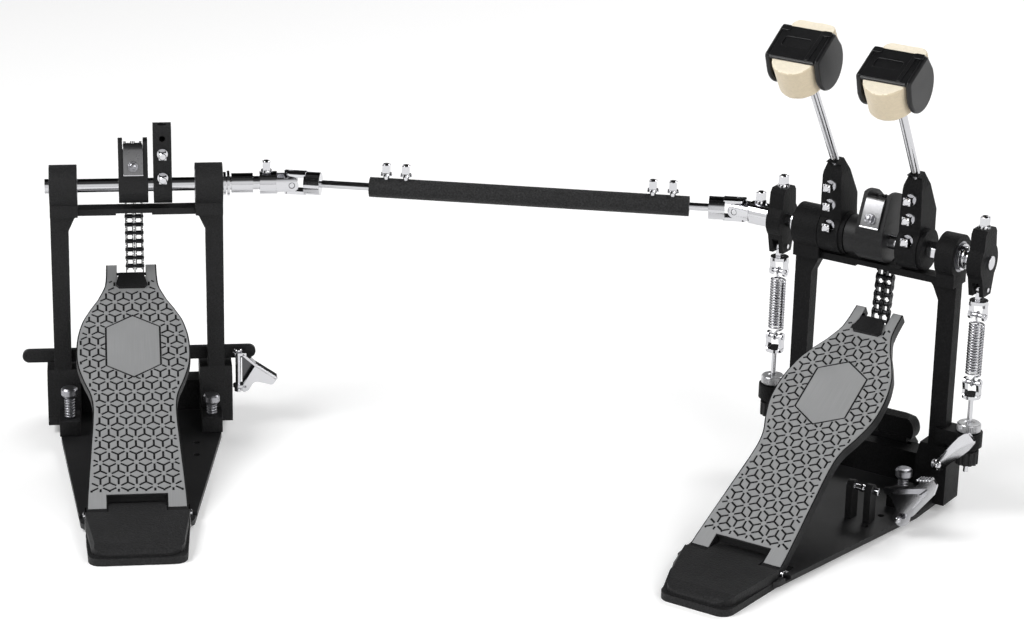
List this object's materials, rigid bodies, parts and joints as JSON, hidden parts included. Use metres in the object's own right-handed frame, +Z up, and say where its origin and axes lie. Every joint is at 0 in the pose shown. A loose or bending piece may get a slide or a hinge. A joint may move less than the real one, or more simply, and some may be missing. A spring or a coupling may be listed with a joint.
{
  "type": "double bass drum pedal",
  "caption": "Double bass drum pedal: a primary pedal with its felt beaters, a slave pedal at its left, and the jointed drive bar between them.",
  "frame": {"origin": "on the floor, under the middle of the primary pedal's shaft", "axes": "+X along the primary shaft away from the drive bar, +Y towards the drum, +Z up"},
  "size_m": [0.6549, 0.4794, 0.3501],
  "materials": {
    "black_casting": "textured satin",
    "black_sheet": "satin",
    "board_metal": "brushed, with a dark engraved pattern",
    "chrome": "polished",
    "bearing_steel": "satin",
    "chain_steel": "dark oiled",
    "black_plastic": "grained",
    "felt": "pressed felt",
    "spring_steel": "bright wire"
  },
  "bodies": {
    "root": {"primary_frame": "black_casting", "primary_base_plate": "black_sheet", "primary_heel_plate": "black_plastic", "primary_hinge_pin": "chrome", "primary_bearings": "bearing_steel", "tension_rods": "chrome", "lock_knobs": "black_plastic", "primary_spurs": "chrome"},
    "left_nut": {"left_tension_nut": "chrome"},
    "right_nut": {"right_tension_nut": "chrome"},
    "jaw": {"hoop_jaw": "black_casting"},
    "spoon": {"primary_wing_lever": "chrome"},
    "clamp_screw": {"side_clamp_lever": "chrome"},
    "primary_rotor": {"primary_shaft": "chrome", "primary_cam": "black_casting", "primary_chain_clip": "chrome", "primary_hub": "black_casting", "primary_beater_rod": "chrome", "primary_beater_felt": "felt", "primary_beater_cradle": "black_plastic", "primary_key_screws": "chrome", "right_rocker": "black_casting"},
    "primary_link_a": {"primary_chain_upper": "chain_steel"},
    "primary_link_b": {"primary_chain_middle": "chain_steel"},
    "primary_chain": {"primary_chain_run": "chain_steel"},
    "primary_board": {"primary_footboard": "board_metal"},
    "right_hanger": {"right_stirrup": "chrome"},
    "right_coil": {"right_spring": "spring_steel"},
    "secondary_rotor": {"secondary_shaft": "chrome", "secondary_hub": "black_casting", "secondary_beater_rod": "chrome", "secondary_beater_felt": "felt", "secondary_beater_cradle": "black_plastic", "left_rocker": "black_casting", "secondary_key_screws": "chrome"},
    "left_hanger": {"left_stirrup": "chrome"},
    "left_coil": {"left_spring": "spring_steel"},
    "drive": {"drive_tube": "black_casting", "drive_rod_right": "chrome", "drive_key_screws": "chrome"},
    "right_cross": {"joint_cross_right": "chrome"},
    "slave_stand": {"slave_frame": "black_casting", "slave_base_plate": "black_sheet", "slave_heel_plate": "black_plastic", "slave_hinge_pin": "chrome", "slave_bearings": "bearing_steel", "slave_stabiliser": "black_casting", "slave_spurs": "chrome"},
    "slave_wing": {"slave_wing_lever": "chrome"},
    "slave_rotor": {"slave_shaft": "chrome", "slave_cam": "black_casting", "slave_chain_clip": "chrome", "slave_hub": "black_casting", "slave_key_screws": "chrome"},
    "slave_link_a": {"slave_chain_upper": "chain_steel"},
    "slave_link_b": {"slave_chain_middle": "chain_steel"},
    "slave_chain": {"slave_chain_run": "chain_steel"},
    "slave_board": {"slave_footboard": "board_metal"},
    "drive_inner": {"drive_rod_left": "chrome"},
    "left_cross": {"joint_cross_left": "chrome"}
  },
  "joints": [
    {"name": "primary_stroke", "type": "hinge", "parent": "root", "child": "primary_rotor", "pos_m": [0, 0, 0.1885], "axis": [-1, 0, 0], "range_deg": [0, 42], "stiffness_Nm_per_rad": 0.35, "springref_deg": -34.38},
    {"name": "primary_link_a_bend", "type": "hinge", "parent": "primary_rotor", "child": "primary_link_a", "pos_m": [0, 0.02074, 0.20521], "axis": [-1, 0, 0], "range_deg": [-21.94, 0]},
    {"name": "primary_link_b_bend", "type": "hinge", "parent": "primary_link_a", "child": "primary_link_b", "pos_m": [0, 0.02269, 0.19917], "axis": [-1, 0, 0], "range_deg": [-16.61, 0]},
    {"name": "primary_chain_bend", "type": "hinge", "parent": "primary_link_b", "child": "primary_chain", "pos_m": [0, 0.02284, 0.19282], "axis": [-1, 0, 0], "range_deg": [-9.22, 0]},
    {"name": "primary_board_press", "type": "hinge", "parent": "root", "child": "primary_board", "pos_m": [0, -0.181, 0.0072], "axis": [-1, 0, 0], "range_deg": [0, 5.48]},
    {"name": "right_hanger_swing", "type": "hinge", "parent": "primary_rotor", "child": "right_hanger", "pos_m": [0.078, 0, 0.1685], "axis": [-1, 0, 0], "range_deg": [-52.18, 0]},
    {"name": "right_coil_stretch", "type": "slide", "parent": "right_hanger", "child": "right_coil", "axis": [0, 0, -1], "range_m": [0, 0.00634], "deforming": ["right_spring"]},
    {"name": "slave_reach", "type": "slide", "parent": "root", "child": "slave_stand", "axis": [-0.9002, -0.4356, 0], "range_m": [-0.02, 0.02]},
    {"name": "slave_stroke", "type": "hinge", "parent": "slave_stand", "child": "slave_rotor", "pos_m": [-0.493, -0.216, 0.1885], "axis": [-0.7593, -0.6508, 0], "range_deg": [0, 42], "stiffness_Nm_per_rad": 0.35, "springref_deg": -34.38},
    {"name": "slave_link_a_bend", "type": "hinge", "parent": "slave_rotor", "child": "slave_link_a", "pos_m": [-0.50552, -0.20139, 0.20779], "axis": [-0.7593, -0.6508, 0], "range_deg": [-16.75, 0]},
    {"name": "slave_link_b_bend", "type": "hinge", "parent": "slave_link_a", "child": "slave_link_b", "pos_m": [-0.50731, -0.1993, 0.20207], "axis": [-0.7593, -0.6508, 0], "range_deg": [-16.61, 0]},
    {"name": "slave_chain_bend", "type": "hinge", "parent": "slave_link_b", "child": "slave_chain", "pos_m": [-0.50797, -0.19854, 0.1958], "axis": [-0.7593, -0.6508, 0], "range_deg": [-11.81, 0]},
    {"name": "slave_board_press", "type": "hinge", "parent": "slave_stand", "child": "slave_board", "pos_m": [-0.37521, -0.35343, 0.0072], "axis": [-0.7593, -0.6508, 0], "range_deg": [0, 5.22]},
    {"name": "drive_inner_turn", "type": "hinge", "parent": "slave_stand", "child": "drive_inner", "pos_m": [-0.40758, -0.14279, 0.1885], "axis": [-0.9002, -0.4356, 0], "range_deg": [0, 42.97]},
    {"name": "left_cross_tilt", "type": "hinge", "parent": "drive_inner", "child": "left_cross", "pos_m": [-0.40758, -0.14279, 0.1885], "axis": [0, 0, 1], "range_deg": [-3.86, 0]},
    {"name": "drive_turn", "type": "hinge", "parent": "root", "child": "drive", "pos_m": [-0.1125, 0, 0.1885], "axis": [-0.9002, -0.4356, 0], "range_deg": [0, 42.97]},
    {"name": "right_cross_tilt", "type": "hinge", "parent": "drive", "child": "right_cross", "pos_m": [-0.1125, 0, 0.1885], "axis": [0, 0, 1], "range_deg": [0, 6.33]},
    {"name": "secondary_stroke", "type": "hinge", "parent": "root", "child": "secondary_rotor", "pos_m": [0, 0, 0.1885], "axis": [-1, 0, 0], "range_deg": [0, 39.98]},
    {"name": "left_hanger_swing", "type": "hinge", "parent": "secondary_rotor", "child": "left_hanger", "pos_m": [-0.078, 0, 0.1685], "axis": [-1, 0, 0], "range_deg": [-49.81, 0]},
    {"name": "left_coil_stretch", "type": "slide", "parent": "left_hanger", "child": "left_coil", "axis": [0, 0, -1], "range_m": [0, 0.00579], "deforming": ["left_spring"]},
    {"name": "left_nut_turn", "type": "hinge", "parent": "root", "child": "left_nut", "pos_m": [-0.078, 0, 0.0665], "axis": [0, 0, 1], "continuous": true},
    {"name": "right_nut_turn", "type": "hinge", "parent": "root", "child": "right_nut", "pos_m": [0.078, 0, 0.0665], "axis": [0, 0, 1], "continuous": true},
    {"name": "jaw_grip", "type": "hinge", "parent": "root", "child": "jaw", "pos_m": [0, 0.032, 0.027], "axis": [-1, 0, 0], "range_deg": [-10, 8]},
    {"name": "spoon_swing", "type": "hinge", "parent": "root", "child": "spoon", "pos_m": [0.064, -0.0085, 0.04], "axis": [0, 1, 0], "range_deg": [-12, 45]},
    {"name": "clamp_screw_turn", "type": "hinge", "parent": "root", "child": "clamp_screw", "pos_m": [0.0445, -0.066, 0.03], "axis": [1, 0, 0], "range_deg": [-20, 50]},
    {"name": "slave_wing_swing", "type": "hinge", "parent": "slave_stand", "child": "slave_wing", "pos_m": [-0.43657, -0.17027, 0.044], "axis": [0, 0, 1], "range_deg": [-60, 5]}
  ],
  "couplings": [
    {"joint": "primary_link_a_bend", "follows": "primary_stroke", "ratio": -0.52205},
    {"joint": "primary_link_b_bend", "follows": "primary_stroke", "ratio": -0.39513},
    {"joint": "primary_chain_bend", "follows": "primary_stroke", "ratio": -0.2192},
    {"joint": "primary_board_press", "follows": "primary_stroke", "ratio": 0.13034},
    {"joint": "right_hanger_swing", "follows": "primary_stroke", "ratio": -1.242},
    {"joint": "right_coil_stretch", "follows": "primary_stroke", "m_per_rad": 0.0086317},
    {"joint": "slave_link_a_bend", "follows": "slave_stroke", "ratio": -0.39846},
    {"joint": "slave_link_b_bend", "follows": "slave_stroke", "ratio": -0.39513},
    {"joint": "slave_chain_bend", "follows": "slave_stroke", "ratio": -0.281},
    {"joint": "slave_board_press", "follows": "slave_stroke", "ratio": 0.12407},
    {"joint": "drive_inner_turn", "follows": "slave_stroke", "ratio": 1.0229},
    {"joint": "left_cross_tilt", "follows": "slave_stroke", "ratio": -0.091695},
    {"joint": "drive_turn", "follows": "slave_stroke", "ratio": 1.0229},
    {"joint": "right_cross_tilt", "follows": "slave_stroke", "ratio": 0.15051},
    {"joint": "secondary_stroke", "follows": "slave_stroke", "ratio": 0.95168},
    {"joint": "left_hanger_swing", "follows": "slave_stroke", "ratio": -1.1857},
    {"joint": "left_coil_stretch", "follows": "slave_stroke", "m_per_rad": 0.007881}
  ]
}
